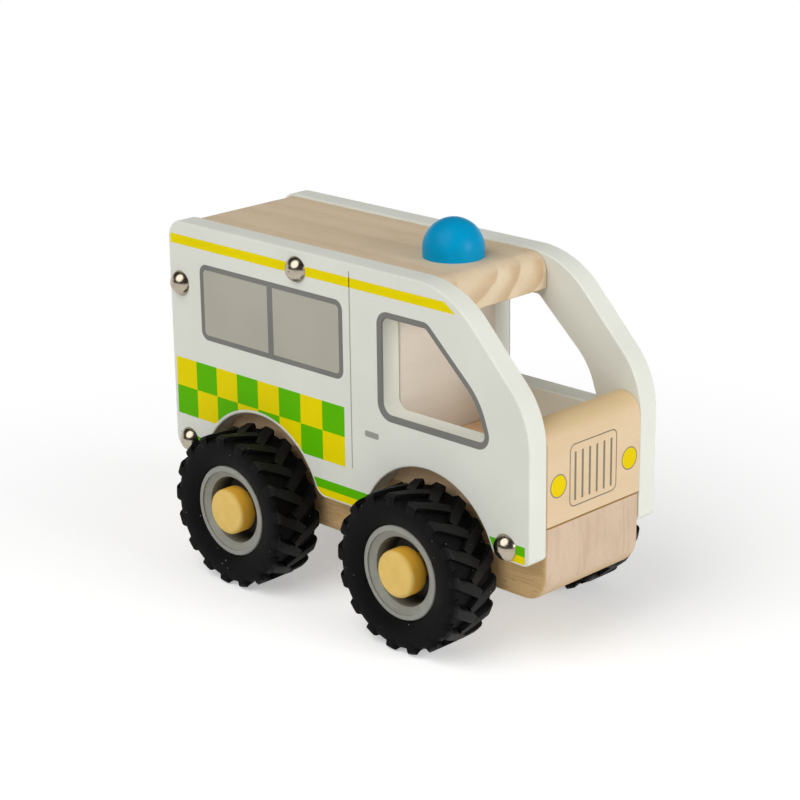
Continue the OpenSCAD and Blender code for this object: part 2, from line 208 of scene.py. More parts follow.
def wood(name, light, dark, end_light, end_dark, axis, rings_at, ring_gap, rings, streak,
         fleck=0.0, rays=0.0, burn_and_top_shade=False):
    """Sawn wood with its fibres along axis.

    light and dark colour the grain on the long faces, and end_light and end_dark that on the sawn ends.
    rings says how strongly growth rings show on the long faces and on the ends, streak how strongly
    fibres do, fleck how strongly short dark pores do, and rays how strongly upright streaks show on
    the ends. Where burning is asked for, it adds the saw's burn and a painted shade, darker and golden,
    on faces that look up."""
    made, tree = new_material(name)
    end = between(tree, facing(tree, axis), *END_FACING)
    ring = math_node(tree, "MULTIPLY", growth_rings(tree, axis, rings_at, ring_gap),
                     between(tree, end, 0, 1, *rings))
    long_way = place(tree, stretched(axis, length=14, width=1))
    fibre = noise(tree, long_way, size=0.5, detail=4.0, roughness=0.65)
    patch = noise(tree, place(tree, stretched(axis, length=30, width=12)), size=1.0, detail=2.0)
    streaks = math_node(tree, "MULTIPLY", between(tree, fibre, low=0.35, high=0.7),
                        between(tree, end, 0, 1, out_low=streak, out_high=0.4 * streak))
    grain = math_node(tree, "ADD", ring, streaks)
    patches = between(tree, patch, low=0.35, high=0.75, out_high=0.25)
    grain = math_node(tree, "ADD", grain, patches, clamp=True)
    if rays:
        upright = place(tree, stretched("Z", length=13, width=1.9))
        wave = noise(tree, upright, size=1.0, detail=2.5, distortion=1.3)
        shown = math_node(tree, "MULTIPLY", between(tree, wave, low=0.48, high=0.72, out_high=rays), end)
        grain = math_node(tree, "ADD", grain, shown, clamp=True)
    colour = mix(tree, end, mix(tree, grain, light, dark), mix(tree, grain, end_light, end_dark))
    if fleck:
        along = place(tree, stretched(axis, length=7, width=1))
        pores = noise(tree, along, size=0.42, detail=2.0, roughness=0.6)
        shown = math_node(tree, "MULTIPLY", between(tree, pores, low=0.58, high=0.72, out_high=fleck),
                          between(tree, end, 0, 1, out_low=1.0, out_high=0.15))
        colour = mix(tree, shown, colour, [PORE_SHADE * part for part in dark[:3]] + [1])
    # The saw's burn, and painted shade on faces that look up.
    if burn_and_top_shade:
        colour = saw_burn_and_top_shade(tree, colour)
    sanded = between(tree, fibre, *NOISE_SPAN, out_low=0.58, out_high=0.72)
    surface(tree, colour, sanded, height=fibre, depth=0.04 * MM, Specular_IOR_Level=WOOD_GLOSS)
    return made


def paint(name, colour, shade, gloss=0.04):
    """Satin paint or print, a little uneven, over wood that hardly shows through."""
    made, tree = new_material(name)
    cloud = noise(tree, place(tree), size=18.0, detail=2.0)
    peel = noise(tree, place(tree, stretched("X", length=3, width=1)), size=0.7)
    shown = mix(tree, between(tree, cloud, *NOISE_SPAN), colour, shade)
    satin = between(tree, peel, *NOISE_SPAN, out_low=0.38, out_high=0.48)
    surface(tree, shown, satin, height=peel, depth=0.012 * MM, Specular_IOR_Level=gloss)
    return made


def plastic(name, colour, shade, roughness, gloss, inner_tone=None, fade=None):
    """Moulded plastic with faint clouding and a fine skin.

    With an inner_tone it turns to that towards the toy's middle, between the two distances in fade."""
    made, tree = new_material(name)
    cloud = noise(tree, place(tree), size=3.0)
    skin = noise(tree, place(tree), size=0.25, detail=2.0)
    shown = mix(tree, between(tree, cloud, *NOISE_SPAN), colour, shade)
    # The inner tone darkens the rim's dish as painted shade, and tints the hub cap's side.
    if inner_tone:
        across = add(tree, "SeparateXYZ", {"Vector": place(tree)}).outputs["Y"]
        outwards = math_node(tree, "ABSOLUTE", across)
        inside = between(tree, outwards, *fade, out_low=INNER_SHARE, out_high=0.0)
        shown = mix(tree, inside, shown, inner_tone)
    dull = between(tree, cloud, *NOISE_SPAN, out_low=roughness, out_high=roughness + 0.08)
    surface(tree, shown, dull, height=skin, depth=0.006 * MM, Specular_IOR_Level=gloss)
    return made


def rubber(name, deep, pale, gloss):
    """Black rubber, deep to pale in cloudy patches, with a few dust specks."""
    made, tree = new_material(name)
    cloud = noise(tree, place(tree), size=6.0, detail=4.0, roughness=0.6)
    skin = noise(tree, place(tree), size=0.3, roughness=0.6)
    specks = add(tree, "TexVoronoi", {"Vector": place(tree), "Scale": 1 / DUST_GAP}).outputs["Distance"]
    dusty = noise(tree, place(tree), size=5.0, detail=2.0)
    dot = between(tree, specks, low=0.06, high=0.1, out_low=1.0, out_high=0.0)
    speck = math_node(tree, "MULTIPLY", dot, between(tree, dusty, low=0.5, high=0.6))
    pale_share = between(tree, cloud, low=0.4, high=0.75)
    colour = mix(tree, pale_share, rgb(deep, deep, deep), rgb(pale, pale, pale))
    colour = mix(tree, speck, colour, DUST)
    dull = between(tree, cloud, *NOISE_SPAN, out_low=0.46, out_high=0.6)
    surface(tree, colour, dull, height=skin, depth=0.03 * MM, Specular_IOR_Level=gloss)
    return made


def metal(name, colour, roughness, scratch):
    """Bright metal with faint smears, rougher by scratch where it is worn."""
    made, tree = new_material(name)
    smear = noise(tree, place(tree), size=1.2)
    worn = between(tree, smear, low=0.4, high=0.75, out_low=roughness, out_high=roughness + scratch)
    surface(tree, colour, worn, Metallic=1.0)
    return made


PINE = wood("pine", rgb(0.76, 0.62, 0.435), rgb(0.61, 0.455, 0.29), rgb(0.78, 0.65, 0.46),
            rgb(0.58, 0.40, 0.23), axis="X", rings_at=(-30, 120), ring_gap=7.4, rings=(0.22, 0.7),
            streak=0.3)
REAR_PINE = wood("rear_pine", rgb(0.76, 0.62, 0.435), rgb(0.63, 0.475, 0.305), rgb(0.76, 0.62, 0.435),
                 rgb(0.61, 0.455, 0.29), axis="Y", rings_at=(-80, 20), ring_gap=6.0, rings=(0.25, 0.5),
                 streak=0.25)
NOSE_PINE = wood("nose_pine", rgb(0.76, 0.585, 0.385), rgb(0.65, 0.47, 0.27), rgb(0.74, 0.57, 0.37),
                 rgb(0.62, 0.44, 0.26), axis="Y", rings_at=(30, 20), ring_gap=5.0, rings=(0.1, 0.3),
                 streak=0.16, burn_and_top_shade=True)
BEECH = wood("beech", rgb(0.73, 0.50, 0.25), rgb(0.55, 0.34, 0.14), rgb(0.68, 0.525, 0.385),
             rgb(0.50, 0.35, 0.245), axis="X", rings_at=(4, -60), ring_gap=3.1, rings=(0.15, 0.0),
             streak=0.4, fleck=0.6, rays=0.32, burn_and_top_shade=True)
PALE_PINE = wood("pale_pine", rgb(0.73, 0.66, 0.575), rgb(0.67, 0.585, 0.49), rgb(0.73, 0.66, 0.575),
                 rgb(0.67, 0.585, 0.49), axis="Y", rings_at=(0, 10), ring_gap=4.5, rings=(0.08, 0.2),
                 streak=0.12)
FLOOR_PINE = wood("floor_pine", rgb(0.88, 0.62, 0.38), rgb(0.74, 0.48, 0.27), rgb(0.88, 0.62, 0.38),
                  rgb(0.70, 0.44, 0.24), axis="X", rings_at=(10, 90), ring_gap=6.0, rings=(0.2, 0.4),
                  streak=0.3)
WHITE = paint("white_paint", rgb(0.785, 0.795, 0.717), rgb(0.756, 0.766, 0.688), gloss=0.12)
YELLOW = paint("yellow_print", rgb(0.86, 0.71, 0.0), rgb(0.83, 0.68, 0.0))
GREEN = paint("green_print", rgb(0.115, 0.51, 0.0), rgb(0.105, 0.485, 0.0))
LINE_GREY = paint("grey_print", rgb(0.22, 0.22, 0.205), rgb(0.20, 0.20, 0.185))
FINE_GREY = paint("fine_grey_print", rgb(0.36, 0.365, 0.325), rgb(0.33, 0.335, 0.30))
PANE_GREY = paint("pane_print", rgb(0.475, 0.45, 0.38), rgb(0.45, 0.43, 0.36))
LINE_BROWN = paint("brown_print", rgb(0.24, 0.215, 0.165), rgb(0.22, 0.195, 0.15))
LAMP_YELLOW = paint("lamp_print", rgb(0.82, 0.62, 0.002), rgb(0.79, 0.59, 0.002))
BLUE = plastic("blue_lacquer", rgb(0.0, 0.30, 0.56), rgb(0.0, 0.28, 0.53), roughness=0.3, gloss=0.08)
# The rim's inner tone is painted shade: its deep dish turns near black towards the toy's middle.
GREY = plastic("grey_plastic", rgb(0.325, 0.33, 0.29), rgb(0.295, 0.30, 0.265), roughness=0.42, gloss=0.2,
               inner_tone=rgb(0.02, 0.018, 0.012), fade=(28.0, 33.2))
TAN = plastic("tan_plastic", rgb(0.85, 0.59, 0.18), rgb(0.81, 0.55, 0.155), roughness=0.45, gloss=0.06,
              inner_tone=rgb(0.92, 0.47, 0.03), fade=(34.4, 35.8))
RUBBER = rubber("black_rubber", deep=0.0035, pale=0.0065, gloss=0.06)
# Paler rubber on the lug tops: partly wear, partly a painted sheen where the flats face the light.
WORN_SHEEN_RUBBER = rubber("worn_sheen_rubber", deep=0.0075, pale=0.015, gloss=0.12)
NICKEL = metal("nickel", rgb(0.46, 0.405, 0.32), roughness=0.17, scratch=0.10)
STEEL = metal("steel", rgb(0.60, 0.60, 0.60), roughness=0.28, scratch=0.15)

NODE_MATERIALS = {
    "chassis": BEECH, "floor_board": FLOOR_PINE, "nose_board": NOSE_PINE, "bulkhead": PALE_PINE,
    "rear_wall": REAR_PINE, "roof": PINE, "right_panel": WHITE, "left_panel": WHITE, "beacon": BLUE,
    "beacon_dowel": PINE, "right_nails": NICKEL, "left_nails": NICKEL, "front_axle": STEEL,
    "rear_axle": STEEL}
for end, side in WHEELS:
    NODE_MATERIALS[f"{end}_{side}_rim"] = GREY
    NODE_MATERIALS[f"{end}_{side}_cap"] = TAN
    NODE_MATERIALS[f"{end}_{side}_tyre"] = RUBBER
for name, node_material in NODE_MATERIALS.items():
    slots = NODES[name].data.materials
    slots.clear()
    slots.append(node_material)


# Eased edges, in millimetres and degrees
EASED_SEGMENTS = 3
BOARD_EDGE_ANGLE = 40
WELD_GAP = 0.001
FLAT_ANGLE = 0.5


def ease(piece, width, angle, clamped):
    """Rounds edges sharper than angle by width in millimetres, or less in crowded spots where clamped."""
    bevel = piece.modifiers.new("eased_edges", "BEVEL")
    bevel.width = width * MM
    bevel.segments = EASED_SEGMENTS
    bevel.use_clamp_overlap = clamped
    bevel.limit_method = "ANGLE"
    bevel.angle_limit = math.radians(angle)
    piece.modifiers.new("normals", "WEIGHTED_NORMAL").keep_sharp = True


# How far the boards' sawn edges are eased
EASED = {"right_panel": 0.45, "left_panel": 0.45, "roof": 0.4, "nose_board": 0.3, "floor_board": 0.3,
         "rear_wall": 0.3, "bulkhead": 0.3}
for name, width in EASED.items():
    weld = NODES[name].modifiers.new("weld", "WELD")
    weld.merge_threshold = WELD_GAP * MM
    flats = NODES[name].modifiers.new("flats", "DECIMATE")
    flats.decimate_type = "DISSOLVE"
    flats.angle_limit = math.radians(FLAT_ANGLE)
    ease(NODES[name], width, BOARD_EDGE_ANGLE, clamped=False)


# Meshes

SMOOTH_ANGLE = 40
SMOOTH_ALL = 180
SAME_POINT = 1e-6


def new_piece(name, verts, faces, material, body, smooth_angle=None):
    """Makes a mesh piece from places in millimetres, which rides on a body and takes a material."""
    mesh = bpy.data.meshes.new(name)
    mesh.from_pydata([Vector(v) * MM for v in verts], [], faces)
    work = bmesh.new()
    work.from_mesh(mesh)
    bmesh.ops.recalc_face_normals(work, faces=work.faces)
    work.to_mesh(mesh)
    work.free()
    mesh.materials.append(material)
    if smooth_angle is not None:
        mesh.shade_smooth()
        mesh.set_sharp_from_angle(angle=math.radians(smooth_angle))
    piece = bpy.data.objects.new(name, mesh)
    bpy.context.scene.collection.objects.link(piece)
    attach(piece, body)
    return piece


def arc(centre, radius, start, end, count):
    """Points on a circle from start to end, in degrees."""
    angles = [math.radians(start + (end - start) * i / count) for i in range(count + 1)]
    return [(centre[0] + radius * math.cos(a), centre[1] + radius * math.sin(a)) for a in angles]


def rounded(points, radii, steps=8):
    """A polygon, counter-clockwise and convex, whose corners are rounded, each by its own radius."""
    outline = []
    count = len(points)
    for i, (corner, radius) in enumerate(zip(points, radii)):
        corner = Vector(corner)
        back = (Vector(points[i - 1]) - corner).normalized()
        ahead = (Vector(points[(i + 1) % count]) - corner).normalized()
        half = back.angle(ahead) / 2
        middle = corner + (back + ahead).normalized() * radius / math.sin(half)
        start = math.degrees(math.atan2(-back.x, back.y))
        sweep = 180 - math.degrees(2 * half)
        outline += arc(middle, radius, start + 180, start + 180 + sweep, steps)
    return outline


def rectangle(low, high):
    """Four corners, counter-clockwise from the low one."""
    return [(low[0], low[1]), (high[0], low[1]), (high[0], high[1]), (low[0], high[1])]


def grown(outline, width):
    """A convex outline, counter-clockwise, pushed outwards by width."""
    count = len(outline)
    result = []
    for i, point in enumerate(outline):
        sides = []
        for other in (outline[i - 1], outline[(i + 1) % count]):
            step = Vector(other) - Vector(point)
            if step.length > SAME_POINT:
                sides.append(step)
        before, after = -sides[0], sides[-1]
        normal = Vector((before.y, -before.x)).normalized() + Vector((after.y, -after.x)).normalized()
        normal.normalize()
        result.append(Vector(point) + normal * width)
    return result


class Print:
    """A thin film of ink on a flat face, gathered from outlines and then made into one piece."""

    sunk = 0.05
    proud = 0.02

    def __init__(self):
        self.verts = []
        self.faces = []

    def film(self, outline):
        """A filled outline."""
        count = len(outline)
        base = len(self.verts)
        for height in (self.proud, -self.sunk):
            self.verts += [(p[0], p[1], height) for p in outline]
        self.faces.append([base + i for i in range(count)])
        self.faces.append([base + count + i for i in reversed(range(count))])
        for i in range(count):
            k = (i + 1) % count
            self.faces.append([base + i, base + count + i, base + count + k, base + k])

    def bead(self, loops):
        """A closed ring through outlines with as many points each, every one at its own height."""
        count = len(loops[0][0])
        base = len(self.verts)
        for outline, height in loops:
            self.verts += [(p[0], p[1], height) for p in outline]
        starts = [base + count * n for n in range(len(loops))]
        for start, end in zip(starts, starts[1:] + starts[:1]):
            for i in range(count):
                k = (i + 1) % count
                self.faces.append([start + i, end + i, end + k, start + k])

    def ring(self, inner, outer):
        """The space between two outlines."""
        self.bead([(inner, self.proud), (outer, self.proud), (outer, -self.sunk), (inner, -self.sunk)])

    def on(self, name, to_part, material, slot):
        """The finished piece, where to_part says where each point goes on the toy."""
        verts = [to_part(*v) for v in self.verts]
        return new_piece(name, verts, self.faces, material, "body")


# Prints on the side panels, in millimetres from the panel's rear edge and above the floor

ARCH_BORDER = 0.95
SILL_BORDER = 0.7
ARCH_CENTRES = [(34.0, 22.6), (96.0, 22.6)]
ARCH_RADIUS = 23.1
ARCH_CORNER = 4.0
CHEQUER_START = 1.28
CHEQUER_TOP = 55.5
CHEQUER_WIDTH = 8.22
CHEQUER_HEIGHT = 8.12
CHEQUER_COLUMNS = 8
CHEQUER_STEPS = 10
TOP_STRIPE = [(0.9, 87.6), (106.0, 87.7), (102.4, 90.2), (0.9, 90.2)]
SILL_YELLOW = (29.3, 31.3)
SILL_GREEN = (31.3, 33.8)
SILL_REAR = 1.8
SILL_FRONT = 128.6
SILL_CORNER = 3.0
SILL_STEPS = 6
PANES_LOW = (12.4, 62.6)
PANES_HIGH = (67.0, 83.65)
PANE_CORNER = 2.6
PANE_DIVIDER_CORNER = 0.3
PANE_LINE = 1.45
PANE_DIVIDER = (38.9, 41.0)
# The door line's place along the panel, and its lower and upper end
DOOR_LINE = (69.65, 39.6, 91.9)
DOOR_LINE_WIDTH = 0.32
HANDLE_AT = (76.9, 50.3)
HANDLE_SIZE = (4.9, 1.6)
HANDLE_CORNER = 0.5
CAB_WINDOW = [(80.9, 57.0), (116.1, 57.0), (112.64, 66.87), (95.9, 82.1), (80.9, 82.1)]
CAB_WINDOW_RADII = [3, 2, 18, 2, 2]
CAB_LINE = 1.7
# The steps, in degrees, in which the cab window's line turns over the eased edge
CAB_LINE_TURNS = range(0, 91, 15)


def arch_edge(z, inset):
    """How far from an arch's centre line the panel's edge is at a height, moved into the panel by inset."""
    rise = z - ARCH_CENTRES[0][1]
    foot = PANEL_BOTTOM - ARCH_CENTRES[0][1] + ARCH_CORNER
    reach = ARCH_RADIUS + ARCH_CORNER
    corner = math.sqrt(reach ** 2 - foot ** 2)
    if rise < foot * (ARCH_RADIUS + inset) / reach:
        small = ARCH_CORNER - inset
        return corner - math.sqrt(max(small ** 2 - (rise - foot) ** 2, 0))
    return math.sqrt((ARCH_RADIUS + inset) ** 2 - rise ** 2)


def arch_top(x, inset):
    """The height that an arch and its border reach at a place along the panel."""
    reach = ARCH_RADIUS + inset
    return max(z + math.sqrt(max(reach ** 2 - (x - middle) ** 2, 0)) for middle, z in ARCH_CENTRES)


def chequer(first):
    """The squares of one colour, where first is the row from the top that starts with it at the rear."""
    ink = Print()
    for column in range(CHEQUER_COLUMNS):
        row = (first + column) % 2
        left = CHEQUER_START + column * CHEQUER_WIDTH
        top = CHEQUER_TOP - row * CHEQUER_HEIGHT
        low = top - CHEQUER_HEIGHT
        xs = [left + CHEQUER_WIDTH * i / CHEQUER_STEPS for i in range(CHEQUER_STEPS + 1)]
        foot = [(x, max(low, arch_top(x, ARCH_BORDER))) for x in xs]
        ink.film(foot + [(xs[-1], top), (xs[0], top)])
    return ink


def sill_stripe(ink, low, high):
    """A stripe along the lower edge, in three pieces that stop short of the arches."""
    heights = [low + (high - low) * i / SILL_STEPS for i in range(SILL_STEPS + 1)]
    rear, front = (middle for middle, _ in ARCH_CENTRES)
    rear_edge = []
    for z in heights:
        drop = min(max(PANEL_BOTTOM + SILL_BORDER + SILL_CORNER - z, 0), SILL_CORNER)
        rear_edge.append(SILL_REAR + SILL_CORNER - math.sqrt(SILL_CORNER ** 2 - drop ** 2))
    spans = [
        (rear_edge, [rear - arch_edge(z, SILL_BORDER) for z in heights]),
        ([rear + arch_edge(z, SILL_BORDER) for z in heights],
         [front - arch_edge(z, SILL_BORDER) for z in heights]),
        ([front + arch_edge(z, SILL_BORDER) for z in heights], [SILL_FRONT] * len(heights))]
    for starts, ends in spans:
        up = list(zip(ends, heights))
        down = list(zip(starts, heights))
        ink.film(up + down[::-1])


def window_edge(window):
    """The line round the cab window, which wraps over the opening's edge."""
    eased = EASED["right_panel"]
    reach = eased + Print.proud
    outer = grown(window, CAB_LINE)
    loops = [(outer, -Print.sunk), (outer, Print.proud)]
    for turn in CAB_LINE_TURNS:
        angle = math.radians(turn)
        loops.append((grown(window, eased - reach * math.sin(angle)), reach * math.cos(angle) - eased))
    loops.append((grown(window, eased), -eased))
    return loops


def side_prints(side):
    """Everything printed on one side panel."""
    sign = SIDES[side]

    def to_part(x, z, out):
        return (REAR_X + x, sign * (PANEL_FACE + out), z)

    yellow = chequer(0)
    yellow.film(TOP_STRIPE)
    sill_stripe(yellow, *SILL_YELLOW)
    green = chequer(1)
    sill_stripe(green, *SILL_GREEN)

    panes = Print()
    grey = Print()
    frame_out = rounded(rectangle(PANES_LOW, PANES_HIGH), [PANE_CORNER] * 4)
    frame_in = grown(frame_out, -PANE_LINE)
    grey.ring(frame_in, frame_out)
    bottom = PANES_LOW[1] + PANE_LINE
    top = PANES_HIGH[1] - PANE_LINE
    grey.film(rectangle((PANE_DIVIDER[0], bottom), (PANE_DIVIDER[1], top)))
    outer = PANE_CORNER - PANE_LINE
    inner = PANE_DIVIDER_CORNER
    left = PANES_LOW[0] + PANE_LINE
    right = PANES_HIGH[0] - PANE_LINE
    rear_pane = rectangle((left, bottom), (PANE_DIVIDER[0], top))
    front_pane = rectangle((PANE_DIVIDER[1], bottom), (right, top))
    panes.film(rounded(rear_pane, [outer, inner, inner, outer]))
    panes.film(rounded(front_pane, [inner, outer, outer, inner]))

    window = rounded(CAB_WINDOW, CAB_WINDOW_RADII)
    grey.bead(window_edge(window))
    door_x, door_low, door_high = DOOR_LINE
    half = DOOR_LINE_WIDTH / 2
    fine = Print()
    fine.film(rectangle((door_x - half, door_low), (door_x + half, door_high)))
    handle = [(HANDLE_AT[i] - HANDLE_SIZE[i] / 2, HANDLE_AT[i] + HANDLE_SIZE[i] / 2) for i in range(2)]
    bar = rectangle((handle[0][0], handle[1][0]), (handle[0][1], handle[1][1]))
    fine.film(rounded(bar, [HANDLE_CORNER] * 4))

    for ink, colour, material in ((yellow, "yellow", YELLOW), (green, "green", GREEN),
                                  (grey, "grey", LINE_GREY), (fine, "fine_grey", FINE_GREY),
                                  (panes, "panes", PANE_GREY)):
        ink.on(f"{side}_print_{colour}", to_part, material, "white_paint")


# Prints on the nose, in millimetres from its middle and above the floor

LAMP_AT = (13.5, 47.1)
LAMP_RADIUS = 2.72
LAMP_LINE = 0.3
LAMP_STEPS = 48
GRILLE_LOW = (-9.4, 40.2)
GRILLE_HIGH = (8.5, 56.5)
GRILLE_CORNER = 1.9
GRILLE_LINE = 0.32
GRILLE_BARS = 6
GRILLE_BAR_WIDTH = 0.7
GRILLE_BAR_CORNER = GRILLE_BAR_WIDTH / 2.2
GRILLE_BAR_ENDS = (41.7, 54.4)
GRILLE_BAR_SPAN = 13.6
GRILLE_MIDDLE = (GRILLE_LOW[0] + GRILLE_HIGH[0]) / 2


def nose_prints():
    """The lamps and the grille."""

    def to_part(y, z, out):
        return (FRONT_X + out, y, z)

    yellow = Print()
    grey = Print()
    for sign in SIDES.values():
        middle = (sign * LAMP_AT[0], LAMP_AT[1])
        disc = arc(middle, LAMP_RADIUS, 0, 360, LAMP_STEPS)[:-1]
        yellow.film(disc)
        grey.ring(disc, arc(middle, LAMP_RADIUS + LAMP_LINE, 0, 360, LAMP_STEPS)[:-1])
    outline = rounded(rectangle(GRILLE_LOW, GRILLE_HIGH), [GRILLE_CORNER] * 4)
    grey.ring(grown(outline, -GRILLE_LINE), outline)
    for i in range(GRILLE_BARS):
        y = GRILLE_MIDDLE + GRILLE_BAR_SPAN * (i / (GRILLE_BARS - 1) - 0.5)
        half = GRILLE_BAR_WIDTH / 2
        bar = rectangle((y - half, GRILLE_BAR_ENDS[0]), (y + half, GRILLE_BAR_ENDS[1]))
        grey.film(rounded(bar, [GRILLE_BAR_CORNER] * 4, steps=3))
    yellow.on("nose_print_yellow", to_part, LAMP_YELLOW, "pine")
    grey.on("nose_print_grey", to_part, LINE_BROWN, "pine")


# Tyres, in millimetres and degrees

LUGS = 17
PITCH = 360 / LUGS
# Each row's side of the tyre, and where its first lug starts, in pitches
LUG_ROWS = ((1, 0.0), (-1, 0.5))
WALL_TURN = 5.5
TYRE_MIDDLE = 28.2
TYRE_TOP = 21.1
TYRE_STEPS = 136
SHOULDER = 7.1
# Half the carcass from the rim to near the middle of the tread, as radius and place along the axle
CARCASS_BEAD = arc((13.3, 5.35), 0.95, 180, 118, 3)
CARCASS_WALL = arc((17.4, -3.25), 10.6, 113, 86, 5)
CARCASS_SHOULDER = arc((18.43, 5.98), 1.35, 75, 0, 4)
CARCASS_GROUND = [(19.75, 4.5), (19.7, 2.2)]
CARCASS = CARCASS_BEAD + CARCASS_WALL + CARCASS_SHOULDER + CARCASS_GROUND
# The line that a lug's top follows, from the side of the tyre over its shoulder and on past the middle
LUG_TOP_START = 5.0
LUG_TIP = -0.8
LUG_STEPS = 5
LUG_WALL = [(16.6, 7.22), (18.2, 7.37)]
LUG_SHOULDER = arc((20.0, 6.25), 1.1, 90, 0, 5)
LUG_TOP = [(TYRE_TOP, LUG_TOP_START + (LUG_TIP - LUG_TOP_START) * i / LUG_STEPS)
           for i in range(LUG_STEPS + 1)]
LUG_LINE = LUG_WALL + LUG_SHOULDER + LUG_TOP
LUG_SLANT = 1.7
LUG_SINK = 1.9
LUG_DEPTH = 1.3
# The width of a lug's flat top and of its soft fall, in degrees, each at its tip and at the shoulder
LUG_FLAT = (5.0, 8.2)
LUG_FADE = (1.3, 3.8)
# Points of the soft fall, in shares of its width and of the lug's depth
LUG_FALL = ((0.4, 0.25), (0.75, 0.75), (1, 1))
# Sections turn square to the lug from the start of its top to this place, and stay so up to the tip
LUG_SQUARED = 2.6
LUG_ROUND = 0.2
LUG_EDGE_ANGLE = 50
# The sections from which a lug's top is worn and has a painted sheen, a paler rubber, and the faces of a
# section that lie on it
LUG_WORN_SHEEN = 3
LUG_FLAT_FACES = (1, 2)
# The length of one degree on the tread
TREAD_MM = math.radians(1) * TYRE_TOP


def share(value, low, high):
    """How far a value is from low to high, kept within 0 and 1."""
    return min(max((value - low) / (high - low), 0), 1)


def lug_sections():
    """Cross sections along a lug, whose corners are a turn from its outer end, a radius and a place along
    the axle."""
    sections = []
    for i, (radius, along) in enumerate(LUG_LINE):
        before = Vector(LUG_LINE[max(i - 1, 0)])
        after = Vector(LUG_LINE[min(i + 1, len(LUG_LINE) - 1)])
        way = (after - before).normalized()
        inward = Vector((way.y, -way.x))
        outwards = share(along, LUG_TIP, SHOULDER)
        flat = LUG_FLAT[0] + (LUG_FLAT[1] - LUG_FLAT[0]) * outwards
        fade = LUG_FADE[0] + (LUG_FADE[1] - LUG_FADE[0]) * outwards ** 2
        wall = -LUG_SLANT * (SHOULDER - min(along, SHOULDER))
        square = LUG_SLANT * TREAD_MM * share(along, LUG_TOP_START, LUG_SQUARED)
        profile = [(0, LUG_SINK), (0, 0), (flat / 2, 0), (flat, 0)]
        profile += [(flat + width * fade, depth * LUG_DEPTH) for width, depth in LUG_FALL]
        profile.append((flat + fade, LUG_SINK))
        section = []
        for behind, drop in profile:
            corner = Vector((radius, along - square * behind * TREAD_MM)) + inward * drop
            section.append((wall + behind, corner.x, corner.y))
        sections.append(section)
    return sections


def tyre(end, side):
    """A tyre with two rows of slanted lugs, each with a steep wall on one side and a soft fall on the
    other."""
    sign = SIDES[side]
    low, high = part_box(f"{end}_{side}_rim")
    centre = (low + high) / 2 / MM
    verts = []
    faces = []
    worn = []

    def point(turn, radius, along):
        angle = math.radians(turn)
        verts.append((centre.x + radius * math.cos(angle), sign * (TYRE_MIDDLE + along),
                      centre.z + radius * math.sin(angle)))

    def skin(base, loops, size, closed):
        for loop in range(loops if closed else loops - 1):
            here = base + loop * size
            there = base + (loop + 1) % loops * size
            for i in range(size):
                k = (i + 1) % size
                faces.append([here + i, here + k, there + k, there + i])

    rows = CARCASS + [(radius, -along) for radius, along in reversed(CARCASS)]
    for radius, along in rows:
        for i in range(TYRE_STEPS):
            point(360 * i / TYRE_STEPS, radius, along)
    skin(0, len(rows), TYRE_STEPS, True)
    sections = lug_sections()
    size = len(sections[0])
    for row, start in LUG_ROWS:
        for lug in range(LUGS):
            base = len(verts)
            for section in sections:
                for turn, radius, along in section:
                    point(WALL_TURN + (lug + start) * PITCH + turn, radius, row * along)
            first = len(faces)
            skin(base, len(sections), size, False)
            for loop in range(LUG_WORN_SHEEN, len(sections) - 1):
                worn += [first + loop * size + i for i in LUG_FLAT_FACES]
            faces.append([base + i for i in range(size)])
            faces.append([base + (len(sections) - 1) * size + i for i in range(size)])
    piece = new_piece(f"{end}_{side}_tyre_tread", verts, faces, RUBBER, f"{end}_{side}_wheel",
                      SMOOTH_ALL)
    # The lug tops take the paler rubber, which is wear and a painted sheen.
    piece.data.materials.append(WORN_SHEEN_RUBBER)
    for index in worn:
        piece.data.polygons[index].material_index = 1
    ease(piece, LUG_ROUND, LUG_EDGE_ANGLE, clamped=True)
    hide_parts(f"{end}_{side}_tyre")


# Hub caps: a head with round edges, and a neck behind it

CAP_ROUND = 1.2
CAP_HEAD = 5.6
CAP_BACK_ROUND = 0.8
CAP_NECK = 3.4
CAP_STEPS = 72
# Nearly on the axle's line, where the flat ends of a cap close
AXLE_LINE = 0.001


def skinned(rows, size):
    """Faces that join rows of points with size points each, and close both ends."""
    faces = [list(range(size)), [(rows - 1) * size + i for i in range(size)]]
    for row in range(rows - 1):
        here, there = row * size, (row + 1) * size
        for i in range(size):
            k = (i + 1) % size
            faces.append([here + i, here + k, there + k, there + i])
    return faces


def hub_cap(end, side):
    """A cap in the place of the solid one, with a shorter head."""
    low, high = (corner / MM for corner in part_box(f"{end}_{side}_cap"))
    centre = (low + high) / 2
    radius = (high.x - low.x) / 2
    foot, face = sorted((abs(low.y), abs(high.y)))
    back = face - CAP_HEAD
    section = [(AXLE_LINE, face)]
    section += arc((radius - CAP_ROUND, face - CAP_ROUND), CAP_ROUND, 90, 0, 5)
    section += arc((radius - CAP_BACK_ROUND, back + CAP_BACK_ROUND), CAP_BACK_ROUND, 0, -90, 3)
    section += [(CAP_NECK, back), (CAP_NECK, foot), (AXLE_LINE, foot)]
    verts = []
    for reach, along in section:
        circle = arc((centre.x, centre.z), reach, 0, 360, CAP_STEPS)[:-1]
        verts += [(x, SIDES[side] * along, z) for x, z in circle]
    piece = new_piece(f"{end}_{side}_hub_cap", verts, skinned(len(section), CAP_STEPS), TAN,
                      f"{end}_axle_set", SMOOTH_ANGLE)
    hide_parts(f"{end}_{side}_cap")


# The chassis block, whose lower ends and sides are rounder than the solid's

CHASSIS_END_ROUND = 7.5
CHASSIS_TOP_ROUND = 0.01
CHASSIS_SIDE_ROUND = 1.2
CHASSIS_SIDE_STEPS = 6


